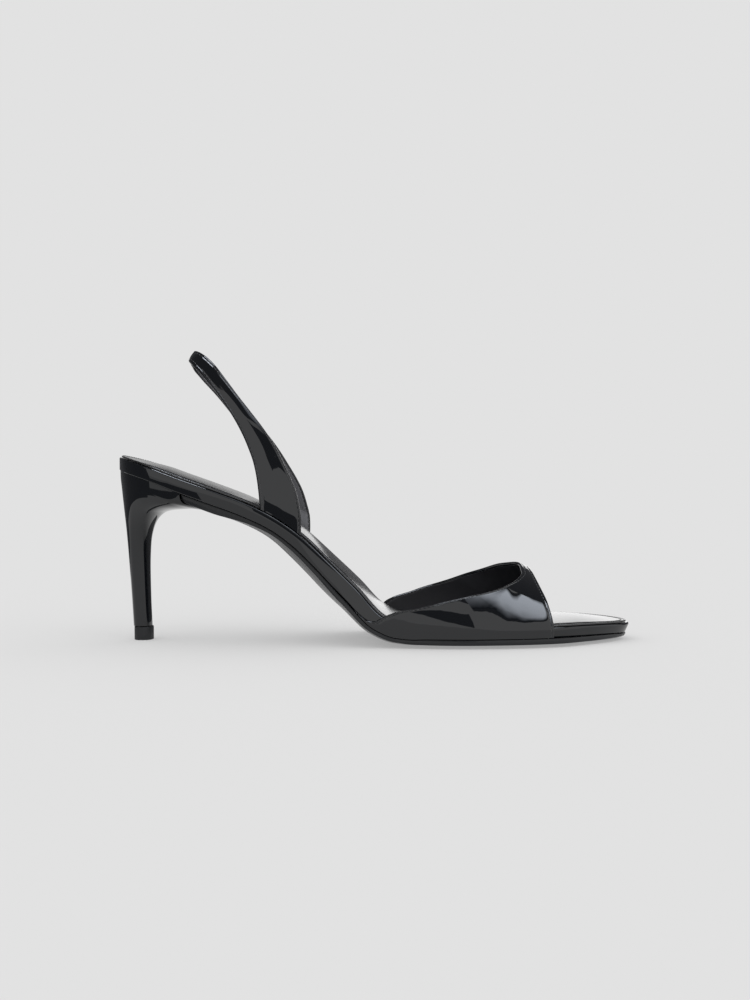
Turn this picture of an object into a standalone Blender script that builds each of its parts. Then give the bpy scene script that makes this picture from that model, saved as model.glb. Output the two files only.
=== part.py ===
"""A slingback sandal in black patent: open toe band, sling strap and slim high heel.

Metres, +Z up. +X runs to the toe, -Y is the outer side of this right shoe, and it stands on z = 0.
Along the shoe, x is counted from the back of the heel seat until the whole shoe is centred.
"""

import math

import bmesh
import bpy
import numpy as np

# Driving sizes
SOLE_LENGTH = 0.2242
HEEL_HEIGHT = 0.0805
BALL_WIDTH = 0.0734
CLEARANCE = 0.0003

# Thicknesses of the sole's layers in the flat forefoot, where they stack from the floor up
OUTSOLE_DEPTH = 0.0038
FOOTBED_DEPTH = 0.0042
FOREFOOT_TOP = OUTSOLE_DEPTH + CLEARANCE + FOOTBED_DEPTH
HEEL_RISE = HEEL_HEIGHT - FOREFOOT_TOP

# Edges and walls
FOOTBED_EDGE_ROUND = 0.0008
OUTSOLE_EDGE_BEVEL = 0.0004
OUTSOLE_LIP = 0.0024
SOCK_EDGE = 0.0006
SOCK_CROWN = 0.0016
SOCK_CROWN_RUN = 0.0220
SOCK_EDGE_ROUND = 0.0004
SOCK_INSET = 0.0010
STRAP_WALL = 0.0018
STRAP_INSET = 0.0006
VAMP_WALL = 0.0016

# Heel and its tip
HEEL_TIP_DEPTH = 0.0059
HEEL_TIP_LENGTH = 0.0084
HEEL_TIP_WIDTH = 0.0106
HEEL_TIP_BEVEL = 0.0003
HEEL_TIP_SETBACK = 0.0003
HEEL_STEM_WIDTH = 0.0100
HEEL_SEAT_RECESS = 0.0003
OUTSOLE_START = 0.0305

# The arch that the toe band is bent over
BAND_CREST = 0.0313
BAND_CREST_SIDE = 0.0040
STRAP_TOP = 0.1272


def table(columns, *rows):
    """Rows of numbers, as one array for each named column."""
    return dict(zip(columns.split(), np.array(rows, float).T))


def curve_through(xs, ys):
    """A smooth curve that passes the points without overshoot: at(x) gives its height and slope."""
    steps = np.diff(xs)
    rates = np.diff(ys) / steps
    slopes = np.concatenate([rates[:1], np.zeros(len(xs) - 2), rates[-1:]])
    for i in range(1, len(xs) - 1):
        if rates[i - 1] * rates[i] > 0:
            before = steps[i - 1] + 2 * steps[i]
            after = 2 * steps[i - 1] + steps[i]
            slopes[i] = (before + after) / (before / rates[i - 1] + after / rates[i])

    def at(x):
        inside = min(max(x, xs[0]), xs[-1])
        i = min(int(np.searchsorted(xs, inside, side="right")) - 1, len(steps) - 1)
        t = (inside - xs[i]) / steps[i]
        low, high = ys[i], ys[i + 1]
        start, end = slopes[i] * steps[i], slopes[i + 1] * steps[i]
        height = (
            low * (1 - t) ** 2 * (1 + 2 * t)
            + high * t**2 * (3 - 2 * t)
            + start * t * (1 - t) ** 2
            - end * t**2 * (1 - t)
        )
        climb = 6 * t * (1 - t) * (high - low) + start * (1 - t) * (1 - 3 * t) - end * t * (2 - 3 * t)
        slope = climb / steps[i]
        return height + (x - inside) * slope, slope

    return at


def smooth(rows, name, along="along"):
    return curve_through(rows[along], rows[name])


def ease(share):
    """A soft step from 0 to 1."""
    share = min(max(share, 0.0), 1.0)
    return share**2 * (3 - 2 * share)


# Side view of the footbed's top edge: rise as a share of the heel's rise above the forefoot
PROFILE = table(
    "along rise",
    (0.000, 1.000),
    (0.070, 0.935),
    (0.126, 0.871),
    (0.185, 0.806),
    (0.252, 0.727),
    (0.309, 0.640),
    (0.356, 0.537),
    (0.416, 0.366),
    (0.465, 0.220),
    (0.5125, 0.065),
    (0.543, 0.016),
    (0.580, 0.000),
    (0.860, 0.000),
    (0.930, -0.003),
    (1.000, -0.012),
)

# Plan of the footbed: half width and centre line as shares of the ball width, centre towards the big toe
PLAN = table(
    "along half centre",
    (0.000, 0.000, 0.000),
    (0.022, 0.197, 0.000),
    (0.054, 0.275, 0.000),
    (0.107, 0.330, 0.000),
    (0.160, 0.334, -0.003),
    (0.268, 0.308, -0.015),
    (0.357, 0.302, -0.020),
    (0.446, 0.349, -0.018),
    (0.535, 0.435, -0.012),
    (0.624, 0.489, -0.002),
    (0.678, 0.500, 0.004),
    (0.749, 0.487, 0.012),
    (0.821, 0.447, 0.022),
    (0.856, 0.409, 0.028),
    (0.914, 0.313, 0.036),
    (0.959, 0.212, 0.040),
    (0.981, 0.145, 0.042),
    (1.000, 0.000, 0.042),
)

# Thicknesses along the sole, as shares of their forefoot values, and the outsole's lip and bulge
FOOTBED = table(
    "along depth",
    (0.00, 1.38),
    (0.15, 1.38),
    (0.25, 1.33),
    (0.33, 1.25),
    (0.40, 1.33),
    (0.46, 1.54),
    (0.50, 1.48),
    (0.55, 1.18),
    (0.60, 1.00),
    (1.00, 1.00),
)
OUTSOLE = table(
    "along depth lip bulge",
    (0.00, 0.82, -1.25, 0.00),
    (0.14, 0.82, -1.25, 0.00),
    (0.20, 0.87, -1.20, 0.00),
    (0.28, 0.94, -1.05, 0.45),
    (0.33, 1.10, -0.90, 0.60),
    (0.37, 1.30, -0.75, 0.62),
    (0.42, 1.33, -0.35, 0.60),
    (0.46, 1.18, 0.60, 0.56),
    (0.50, 0.98, 1.00, 0.57),
    (0.55, 0.96, 1.00, 0.56),
    (0.57, 0.930, 1.00, 0.49),
    (0.59, 0.983, 1.00, 0.44),
    (0.60, 1.00, 1.00, 0.42),
    (0.66, 1.00, 1.00, 0.39),
    (0.85, 1.00, 0.88, 0.39),
    (0.91, 0.93, 0.38, 0.40),
    (0.96, 0.74, 0.25, 0.40),
    (1.00, 0.38, 0.15, 0.30),
)
OUTSOLE_TREAD = 0.35

# Stations along the sole, closer at the round ends and in the bend of the ball
STATIONS = (
    0.0, 0.0015, 0.006, 0.014, 0.026, 0.043, 0.066, 0.095, 0.13, 0.17, 0.21, 0.25, 0.29, 0.325, 0.355,
    0.385, 0.415, 0.44, 0.463, 0.482, 0.50, 0.515, 0.53, 0.545, 0.562, 0.58, 0.61, 0.65, 0.69, 0.73,
    0.77, 0.81, 0.845, 0.877, 0.905, 0.93, 0.951, 0.968, 0.981, 0.990, 0.9965, 0.9992, 1.0,
)  # fmt: skip

# The seat leans less than the profile, so that its back stands upright
UPRIGHT_UNTIL = 0.25

rise_at = smooth(PROFILE, "rise")
footbed_share = smooth(FOOTBED, "depth")
outsole_share = smooth(OUTSOLE, "depth")
lip_share = smooth(OUTSOLE, "lip")
bulge_share = smooth(OUTSOLE, "bulge")
half_squared = curve_through(PLAN["along"], PLAN["half"] ** 2)
centre_share = smooth(PLAN, "centre")


def footbed_depth(x):
    return FOOTBED_DEPTH * footbed_share(x / SOLE_LENGTH)[0]


def outsole_depth(x):
    return OUTSOLE_DEPTH * outsole_share(x / SOLE_LENGTH)[0]


def on_last(x, y, height):
    """The point that lies height above the footbed's top edge at x, square to the sole past the seat."""
    rise, slope = rise_at(x / SOLE_LENGTH)
    lean = math.atan(-slope * HEEL_RISE / SOLE_LENGTH) * ease(x / SOLE_LENGTH / UPRIGHT_UNTIL)
    return (x + height * math.sin(lean), y, FOREFOOT_TOP + HEEL_RISE * rise + height * math.cos(lean))


def edge(x, side, grow=0.0):
    """A point of the footbed's outline in plan, moved outwards by grow. side is -1 outer or 1 inner."""
    squared, squared_slope = half_squared(x / SOLE_LENGTH)
    centre, centre_slope = centre_share(x / SOLE_LENGTH)
    half = math.sqrt(max(squared, 0.0))
    widening = (squared_slope + 2 * half * side * centre_slope) * BALL_WIDTH / SOLE_LENGTH
    length = math.hypot(widening, 2 * half)
    y = BALL_WIDTH * (centre + side * half)
    return x - grow * widening / length, y + side * grow * 2 * half / length


def mesh_object(name, points, faces, finish, collection):
    """A mesh from points and faces with its doubled points merged."""
    mesh = bpy.data.meshes.new(name)
    mesh.from_pydata(points, [], faces)
    shape = bmesh.new()
    shape.from_mesh(mesh)
    bmesh.ops.remove_doubles(shape, verts=shape.verts, dist=1e-7)
    bmesh.ops.dissolve_degenerate(shape, edges=shape.edges, dist=1e-7)
    bmesh.ops.recalc_face_normals(shape, faces=shape.faces)
    shape.to_mesh(mesh)
    shape.free()
    mesh.shade_smooth()
    mesh.set_sharp_from_angle(angle=math.radians(40))
    made = bpy.data.objects.new(name, mesh)
    if finish:
        mesh.materials.append(finish)
    collection.objects.link(made)
    return made


def loft(name, sections, finish, collection):
    """A closed skin through sections of as many points each, with a face over the first and the last."""
    count = len(sections[0])
    points = [point for section in sections for point in section]
    faces = []
    for row in range(len(sections) - 1):
        for i in range(count):
            j = (i + 1) % count
            faces.append((row * count + i, row * count + j, (row + 1) * count + j, (row + 1) * count + i))
    faces.append(tuple(range(count)))
    faces.append(tuple(range((len(sections) - 1) * count, len(sections) * count)))
    return mesh_object(name, points, faces, finish, collection)


def band(name, rows, wall, finish, collection):
    """A leather band from a grid of its outer face, thickened inwards."""
    count = len(rows[0])
    points = [point for row in rows for point in row]
    faces = []
    for row in range(len(rows) - 1):
        for i in range(count - 1):
            first = row * count + i
            faces.append((first, first + count, first + count + 1, first + 1))
    mesh = bpy.data.meshes.new(name)
    mesh.from_pydata(points, [], faces)
    mesh.shade_smooth()
    mesh.materials.append(finish)
    made = bpy.data.objects.new(name, mesh)
    collection.objects.link(made)
    thick = made.modifiers.new("wall", "SOLIDIFY")
    thick.thickness = wall
    thick.offset = -1.0
    thick.use_even_offset = True
    return made


def plate_sections(stations, rings, floor_height, roof_height, columns):
    """Cross sections of a layer of the sole.

    rings are pairs of functions of x from the underside's edge to the top's: how far the edge stands out,
    and its height. floor_height and roof_height give the faces between the edges from x and a share across.
    """
    sections = []
    for x in stations:
        sides = {}
        for side in (-1, 1):
            sides[side] = [(*edge(x, side, grow(x)), height(x)) for grow, height in rings]
        section = [on_last(*point) for point in sides[-1]]
        for across, face in ((columns, roof_height), (columns[::-1], floor_height)):
            ring = -1 if face is roof_height else 0
            near, far = sides[-1][ring], sides[1][ring]
            for share in across:
                t = (1 + share) / 2
                at_x = near[0] + (far[0] - near[0]) * t
                at_y = near[1] + (far[1] - near[1]) * t
                section.append(on_last(at_x, at_y, face(at_x, share)))
            if face is roof_height:
                section += [on_last(*point) for point in sides[1][::-1]]
        sections.append(section)
    return sections


def stations_between(start, end):
    """Distances along the sole of every station between two shares of its length, both ends included."""
    inside = [share for share in STATIONS if start < share < end]
    return [SOLE_LENGTH * share for share in (start, *inside, end)]


def make_footbed(finish, collection):
    def under(x):
        return -footbed_depth(x)

    rings = (
        (lambda x: -FOOTBED_EDGE_ROUND / 2, under),
        (lambda x: 0.0, lambda x: under(x) + FOOTBED_EDGE_ROUND / 2),
        (lambda x: 0.0, lambda x: -FOOTBED_EDGE_ROUND),
        (lambda x: -FOOTBED_EDGE_ROUND * 0.3, lambda x: -FOOTBED_EDGE_ROUND * 0.3),
        (lambda x: -FOOTBED_EDGE_ROUND, lambda x: 0.0),
    )
    sections = plate_sections(
        stations_between(0.0, 1.0), rings, lambda x, share: under(x), lambda x, share: 0.0, (0.0,)
    )
    return loft("footbed", sections, finish, collection)


def outsole_top(x):
    return -footbed_depth(x) - CLEARANCE


def outsole_floor(x, share):
    """Underside of the outsole: a level tread in the middle, thinner towards its edges where it bulges."""
    bulge = max(bulge_share(x / SOLE_LENGTH)[0], 0.0)
    outside = max(abs(share) - OUTSOLE_TREAD, 0.0) / (1 - OUTSOLE_TREAD)
    return outsole_top(x) - outsole_depth(x) * (1 - bulge * outside**2)


def outsole_lip(x):
    return OUTSOLE_LIP * lip_share(x / SOLE_LENGTH)[0]


def make_outsole(finish, collection):
    rings = (
        (lambda x: outsole_lip(x) - OUTSOLE_EDGE_BEVEL, lambda x: outsole_floor(x, 1.0)),
        (outsole_lip, lambda x: outsole_floor(x, 1.0) + OUTSOLE_EDGE_BEVEL),
        (outsole_lip, outsole_top),
    )
    columns = (-0.84, -0.62, -OUTSOLE_TREAD, OUTSOLE_TREAD, 0.62, 0.84)
    sections = plate_sections(
        stations_between(OUTSOLE_START / SOLE_LENGTH, 1.0),
        rings,
        outsole_floor,
        lambda x, share: outsole_top(x),
        columns,
    )
    return loft("outsole", sections, finish, collection)


# The sock steps in round the strap's base, which stands on the footbed between these shares
STRAP_ROOM_START = 0.245
STRAP_ROOM_END = 0.405
STRAP_ROOM_RUN = 0.030


def sock_inset(x):
    """How far inside the footbed's outline the sock's edge lies."""
    after_start = ease((x / SOLE_LENGTH - STRAP_ROOM_START) / STRAP_ROOM_RUN)
    before_end = ease((STRAP_ROOM_END - x / SOLE_LENGTH) / STRAP_ROOM_RUN)
    inside_strap = STRAP_INSET + STRAP_WALL + CLEARANCE + 0.0001
    return SOCK_INSET + (inside_strap - SOCK_INSET) * after_start * before_end


def make_sock(finish, collection):
    def crown(x, share):
        from_end = min(x, SOLE_LENGTH - x) - SOCK_INSET
        return CLEARANCE + SOCK_EDGE + SOCK_CROWN * (1 - share**2) * ease(from_end / SOCK_CROWN_RUN)

    rings = (
        (lambda x: -sock_inset(x), lambda x: CLEARANCE),
        (lambda x: -sock_inset(x), lambda x: CLEARANCE + SOCK_EDGE - SOCK_EDGE_ROUND),
        (lambda x: -sock_inset(x) - SOCK_EDGE_ROUND, lambda x: CLEARANCE + SOCK_EDGE),
    )
    columns = (-0.85, -0.55, -0.2, 0.2, 0.55, 0.85)
    sections = plate_sections(
        stations_between(0.0, 1.0), rings, lambda x, share: CLEARANCE, crown, columns
    )
    return loft("sock", sections, finish, collection)


# Side view of the heel: each section runs from the back line to the front line, both as shares of the
# sole's length and of the way up from the heel tip. flare blends the stem's width into the seat's outline.
HEEL = table(
    "row back_along back_up front_along front_up stem flare",
    (0.00, 0.0259, 0.000, 0.0624, 0.000, 1.00, 0.00),
    (0.10, 0.0228, 0.159, 0.0602, 0.159, 1.06, 0.00),
    (0.20, 0.0186, 0.348, 0.0591, 0.348, 1.20, 0.00),
    (0.30, 0.0150, 0.495, 0.0607, 0.489, 1.46, 0.04),
    (0.40, 0.0124, 0.589, 0.0656, 0.573, 1.80, 0.14),
    (0.50, 0.0101, 0.656, 0.0754, 0.635, 2.25, 0.30),
    (0.60, 0.0079, 0.717, 0.0923, 0.674, 2.75, 0.50),
    (0.70, 0.0058, 0.771, 0.1169, 0.687, 3.20, 0.70),
    (0.80, 0.0037, 0.826, 0.1459, 0.690, 3.60, 0.88),
    (0.90, 0.0018, 0.879, 0.1735, 0.683, 3.80, 1.00),
    (1.00, 0.0009, 0.989, 0.2060, 0.688, 4.00, 1.00),
)
HEEL_FOOT = HEEL_TIP_DEPTH + CLEARANCE

# Half outline of the stem from its back to its front, with the soft ridge beside the breast
STEM = table(
    "along half",
    (0.00, 0.00),
    (0.03, 0.45),
    (0.12, 0.80),
    (0.30, 0.98),
    (0.50, 1.00),
    (0.70, 0.93),
    (0.86, 0.70),
    (0.96, 0.36),
    (1.00, 0.00),
)
STEM_POINTS = (0.0, 0.012, 0.045, 0.10, 0.18, 0.28, 0.40, 0.52, 0.64, 0.75, 0.84, 0.91, 0.96, 0.99, 1.0)
HEEL_ROWS = 21
SEAT_CORNER = 0.62
stem_squared = curve_through(STEM["along"], STEM["half"] ** 2)


def stem_half(share):
    return math.sqrt(max(stem_squared(share)[0], 0.0))


def seat_half(share, length):
    """Half width of a heel section under the seat, rounded to a tongue in front of its corner."""
    x = length * share
    half = BALL_WIDTH * math.sqrt(max(half_squared(x / SOLE_LENGTH)[0], 0.0)) - HEEL_SEAT_RECESS
    past = max(share - SEAT_CORNER, 0.0) / (1 - SEAT_CORNER)
    return max(half, 0.0) * math.sqrt(1 - past**2)


def make_heel(finish, collection, cutters):
    columns = {name: curve_through(HEEL["row"], HEEL[name]) for name in HEEL if name != "row"}
    sections = []
    for row in np.linspace(0.0, 1.0, HEEL_ROWS):
        at = {name: float(curve(row)[0]) for name, curve in columns.items()}
        back_x, front_x = SOLE_LENGTH * at["back_along"], SOLE_LENGTH * at["front_along"]
        back_z = HEEL_FOOT + (HEEL_HEIGHT - HEEL_FOOT) * at["back_up"]
        front_z = HEEL_FOOT + (HEEL_HEIGHT - HEEL_FOOT) * at["front_up"]
        halves = []
        for share in STEM_POINTS:
            stem = HEEL_STEM_WIDTH / 2 * at["stem"] * stem_half(share)
            seat = seat_half(share, front_x - back_x)
            halves.append(stem + (seat - stem) * at["flare"])
        section = []
        for side, shares in ((-1, STEM_POINTS), (1, STEM_POINTS[-2:0:-1])):
            for share in shares:
                x = back_x + (front_x - back_x) * share
                z = back_z + (front_z - back_z) * share
                section.append((x, side * halves[STEM_POINTS.index(share)], z))
        sections.append(section)
    heel = loft("heel", sections, finish, collection)
    for name, start, end, under in (
        ("footbed_room", -0.05, 0.30, lambda x: -footbed_depth(x) - CLEARANCE),
        (
            "outsole_room",
            (OUTSOLE_START - CLEARANCE) / SOLE_LENGTH,
            0.30,
            lambda x: outsole_top(x) - outsole_depth(x) - CLEARANCE,
        ),
    ):
        room = make_room(name, start, end, under, cutters)
        cut = heel.modifiers.new(name, "BOOLEAN")
        cut.operation = "DIFFERENCE"
        cut.solver = "EXACT"
        cut.object = room
    return heel


ROOM_SECTIONS = 24


def make_room(name, start, end, under, cutters):
    """A cutter that holds all the space above an underside of the sole."""
    half_width = BALL_WIDTH / 2
    roof = HEEL_HEIGHT / 2
    sections = []
    for share in np.linspace(start, end, ROOM_SECTIONS):
        x = SOLE_LENGTH * float(share)
        corners = (
            (-half_width, under(x)),
            (half_width, under(x)),
            (half_width, roof),
            (-half_width, roof),
        )
        sections.append([on_last(x, y, height) for y, height in corners])
    room = loft(name, sections, None, cutters)
    room.hide_render = True
    room.display_type = "WIRE"
    return room


def make_heel_tip(finish, collection):
    back = SOLE_LENGTH * HEEL["back_along"][0] + HEEL_TIP_SETBACK
    sections = []
    for inset, z in (
        (HEEL_TIP_BEVEL, 0.0),
        (0.0, HEEL_TIP_BEVEL),
        (0.0, HEEL_TIP_DEPTH - HEEL_TIP_BEVEL),
        (HEEL_TIP_BEVEL, HEEL_TIP_DEPTH),
    ):
        length = HEEL_TIP_LENGTH - 2 * inset
        half_width = HEEL_TIP_WIDTH / 2 - inset
        section = []
        for side, shares in ((-1, STEM_POINTS), (1, STEM_POINTS[-2:0:-1])):
            for share in shares:
                section.append((back + inset + length * share, side * half_width * stem_half(share), z))
        sections.append(section)
    return loft("heel_tip", sections, finish, collection)


# The sling from its base on the outer side to the back: its front and rear edges as shares of the sole's
# length and of the way up from the sole's top to the strap's, its distance from the centre as a share of its
# reach, and how far the inner leg stands ahead of the outer one as a share of the sole's length.
SLING = table(
    "row front_along front_up rear_along rear_up aside ahead",
    (0.000, 0.3586, 0.015, 0.2810, 0.010, 0.960, 0.0090),
    (0.060, 0.3595, 0.094, 0.2797, 0.065, 0.925, 0.0084),
    (0.125, 0.3564, 0.156, 0.2774, 0.128, 0.905, 0.0062),
    (0.190, 0.3510, 0.218, 0.2734, 0.210, 0.885, 0.0036),
    (0.260, 0.3403, 0.277, 0.2672, 0.290, 0.860, 0.0012),
    (0.330, 0.3265, 0.344, 0.2569, 0.372, 0.825, -0.0025),
    (0.410, 0.3087, 0.428, 0.2431, 0.463, 0.790, -0.0070),
    (0.490, 0.2872, 0.510, 0.2270, 0.552, 0.745, -0.0100),
    (0.570, 0.2632, 0.595, 0.2096, 0.635, 0.690, -0.0122),
    (0.650, 0.2382, 0.688, 0.1918, 0.714, 0.630, -0.0140),
    (0.730, 0.2132, 0.794, 0.1740, 0.783, 0.555, -0.0150),
    (0.810, 0.1909, 0.890, 0.1579, 0.846, 0.450, -0.0140),
    (0.880, 0.1704, 0.957, 0.1445, 0.889, 0.320, -0.0080),
    (0.945, 0.1561, 0.989, 0.1365, 0.910, 0.170, -0.0030),
    (1.000, 0.1476, 1.000, 0.1338, 0.912, 0.000, 0.0000),
)
SLING_ROWS = 21
SLING_COLUMNS = 6
SLING_REACH = 0.0243


def both_ways(name):
    """A column of the sling's table, carried on past the back so that it turns there without a corner."""
    rows = np.concatenate([SLING["row"], 2 - SLING["row"][-2::-1]])
    turned = -1.0 if name == "aside" else 1.0
    return curve_through(rows, np.concatenate([SLING[name], turned * SLING[name][-2::-1]]))


def up_from_sole(x, share):
    """Height of a point that share of the way up from the sole's top at x to the top of the strap."""
    sole = on_last(x, 0.0, 0.0)[2]
    return sole + (STRAP_TOP - sole) * share


def make_sling_strap(finish, collection):
    columns = {name: both_ways(name) for name in SLING if name != "row"}

    def leg(side):
        rows = []
        for row in np.linspace(0.0, 1.0, SLING_ROWS):
            at = {name: float(curve(row)[0]) for name, curve in columns.items()}
            ahead = at["ahead"] * SOLE_LENGTH if side > 0 else 0.0
            y = side * SLING_REACH * at["aside"]
            front_x, rear_x = SOLE_LENGTH * at["front_along"], SOLE_LENGTH * at["rear_along"]
            front_z, rear_z = up_from_sole(front_x, at["front_up"]), up_from_sole(rear_x, at["rear_up"])
            points = []
            for share in np.linspace(0.0, 1.0, SLING_COLUMNS):
                x = front_x + (rear_x - front_x) * share + ahead
                if row == 0.0:
                    points.append(on_last(*edge(x, side, -STRAP_INSET), CLEARANCE))
                else:
                    points.append((x, y, front_z + (rear_z - front_z) * share))
            rows.append(points)
        return rows

    return band("sling_strap", leg(-1) + leg(1)[-2::-1], STRAP_WALL, finish, collection)


# The arch under the toe band along the shoe: crest height as a share of its height at the front edge, and
# how full its sides are (1 is a tent, 2 an ellipse)
ARCH = table(
    "along crest fullness",
    (0.45, 1.78, 2.20),
    (0.52, 1.70, 2.20),
    (0.60, 1.55, 2.10),
    (0.68, 1.37, 1.95),
    (0.75, 1.19, 1.62),
    (0.78, 1.09, 1.55),
    (0.807, 1.00, 1.55),
    (0.85, 0.86, 1.55),
)

# The toe band's front edge and topline, from its outer lower edge over the crest to its inner lower edge:
# places along the shoe and angles round the arch, where below 0 and above 180 is the upright edge
VAMP = table(
    "row front_along front_angle top_along top_angle",
    (0.00, 0.8388, -10.0, 0.4610, -10.0),
    (0.03, 0.8388, -5.0, 0.4830, -6.6),
    (0.06, 0.8388, 1.0, 0.5060, 1.0),
    (0.12, 0.8385, 8.0, 0.5350, 7.0),
    (0.19, 0.8366, 18.0, 0.5865, 12.3),
    (0.26, 0.8334, 28.0, 0.6500, 20.5),
    (0.33, 0.8290, 39.0, 0.7080, 30.5),
    (0.39, 0.8227, 49.0, 0.7500, 42.5),
    (0.44, 0.8179, 57.0, 0.7750, 54.5),
    (0.48, 0.8126, 68.0, 0.7865, 67.0),
    (0.52, 0.8085, 84.0, 0.7860, 80.0),
    (0.56, 0.8085, 97.0, 0.7782, 98.0),
    (0.61, 0.8120, 111.0, 0.7661, 110.5),
    (0.66, 0.8165, 123.0, 0.7474, 121.0),
    (0.72, 0.8235, 135.0, 0.7140, 136.5),
    (0.79, 0.8305, 148.0, 0.6500, 154.5),
    (0.86, 0.8355, 162.0, 0.5815, 165.5),
    (0.93, 0.8386, 176.0, 0.5261, 174.0),
    (0.97, 0.8388, 185.0, 0.4860, 186.6),
    (1.00, 0.8388, 190.0, 0.4630, 190.0),
)
UPRIGHT_ANGLE = 10.0
ARCH_START = 0.80
VAMP_ROWS = 37
VAMP_COLUMNS = 10
SEAM_START = 0.42
SEAM_END = 0.95
SEAM_SAMPLES = 160

crest_share = smooth(ARCH, "crest")
fullness_at = smooth(ARCH, "fullness")


def seam_lines():
    """Side view and plan of the seam that the toe band's lower edge follows, for reading between samples."""
    along = [SOLE_LENGTH * share for share in np.linspace(SEAM_START, SEAM_END, SEAM_SAMPLES)]
    seam = [on_last(x, 0.0, -footbed_depth(x)) for x in along]
    start = [on_last(x, 0.0, -footbed_depth(x) * (1 - ARCH_START)) for x in along]
    stand_off = CLEARANCE + VAMP_WALL
    return {
        "x": [point[0] for point in seam],
        "low": [point[2] for point in seam],
        "start": [point[2] for point in start],
        "outer": [edge(x, -1, stand_off)[1] for x in along],
        "inner": [edge(x, 1, stand_off)[1] for x in along],
    }


SEAM = seam_lines()


def on_arch(x, angle):
    """The point of the toe band's outer face at x and an angle round its arch."""
    low, start, outer, inner = (
        float(np.interp(x, SEAM["x"], SEAM[name])) for name in ("low", "start", "outer", "inner")
    )
    if angle < 0:
        return (x, outer, start + (start - low) * angle / UPRIGHT_ANGLE)
    if angle > 180:
        return (x, inner, start + (start - low) * (180 - angle) / UPRIGHT_ANGLE)
    crest = BAND_CREST * crest_share(x / SOLE_LENGTH)[0]
    power = 2 / fullness_at(x / SOLE_LENGTH)[0]
    across = math.cos(math.radians(angle))
    reach = (BAND_CREST_SIDE - outer) if across > 0 else (inner - BAND_CREST_SIDE)
    y = BAND_CREST_SIDE - math.copysign(reach * abs(across) ** power, across)
    return (x, y, start + (crest - start) * math.sin(math.radians(angle)) ** power)


def make_vamp(finish, collection):
    columns = {name: curve_through(VAMP["row"], VAMP[name]) for name in VAMP if name != "row"}
    rows = []
    for row in np.linspace(0.0, 1.0, VAMP_ROWS):
        at = {name: float(curve(row)[0]) for name, curve in columns.items()}
        points = []
        for share in np.linspace(0.0, 1.0, VAMP_COLUMNS):
            x = SOLE_LENGTH * (at["front_along"] + (at["top_along"] - at["front_along"]) * share)
            angle = at["front_angle"] + (at["top_angle"] - at["front_angle"]) * share
            points.append(on_arch(x, angle))
        rows.append(points)
    return band("vamp", rows, VAMP_WALL, finish, collection)


def finish_of(name, colour, roughness, coat=0.0):
    made = bpy.data.materials.new(name)
    made.use_nodes = True
    shader = made.node_tree.nodes["Principled BSDF"]
    shader.inputs["Base Color"].default_value = (*colour, 1.0)
    shader.inputs["Metallic"].default_value = 0.0
    shader.inputs["Roughness"].default_value = roughness
    shader.inputs["Coat Weight"].default_value = coat
    return made


def centre_on_floor(pieces, helpers):
    """Moves the whole shoe, with its cutters, so that its box is centred over the origin."""
    bpy.context.view_layer.update()
    graph = bpy.context.evaluated_depsgraph_get()
    low = np.full(3, np.inf)
    high = np.full(3, -np.inf)
    for piece in pieces:
        corners = np.array(piece.evaluated_get(graph).bound_box)
        low = np.minimum(low, corners.min(axis=0))
        high = np.maximum(high, corners.max(axis=0))
    shoe = bpy.data.objects.new("shoe", None)
    bpy.context.scene.collection.objects.link(shoe)
    for piece in (*pieces, *helpers):
        piece.parent = shoe
    shoe.location = (-(low[0] + high[0]) / 2, -(low[1] + high[1]) / 2, 0.0)


def main():
    for old in list(bpy.data.objects):
        bpy.data.objects.remove(old, do_unlink=True)
    parts = bpy.data.collections.new("slingback_sandal")
    cutters = bpy.data.collections.new("cutters")
    for collection in (parts, cutters):
        bpy.context.scene.collection.children.link(collection)
    pieces = [
        make_outsole(finish_of("outsole_black", (0.02, 0.02, 0.022), 0.35), parts),
        make_footbed(finish_of("wrapped_patent", (0.012, 0.012, 0.015), 0.12, 1.0), parts),
        make_sock(finish_of("sock_leather", (0.02, 0.02, 0.022), 0.4), parts),
        make_vamp(finish_of("band_patent", (0.012, 0.012, 0.015), 0.08, 1.0), parts),
        make_sling_strap(finish_of("strap_patent", (0.012, 0.012, 0.015), 0.08, 1.0), parts),
        make_heel(finish_of("heel_patent", (0.012, 0.012, 0.015), 0.1, 1.0), parts, cutters),
        make_heel_tip(finish_of("tip_rubber", (0.03, 0.03, 0.03), 0.6), parts),
    ]
    centre_on_floor(pieces, list(cutters.objects))


main()
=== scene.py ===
# %% [markdown]
# Slingback sandal in black patent leather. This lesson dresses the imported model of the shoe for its
# photograph: seven pieces, each made again at fine resolution from the same rules as its solid, and then
# the things that only the eye asks for, such as rolled edges, stitches, lining and studio reflections.
# All lengths are metres, +X runs to the toe, -Y is the outer side of this right shoe and z = 0 is the floor.

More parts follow.
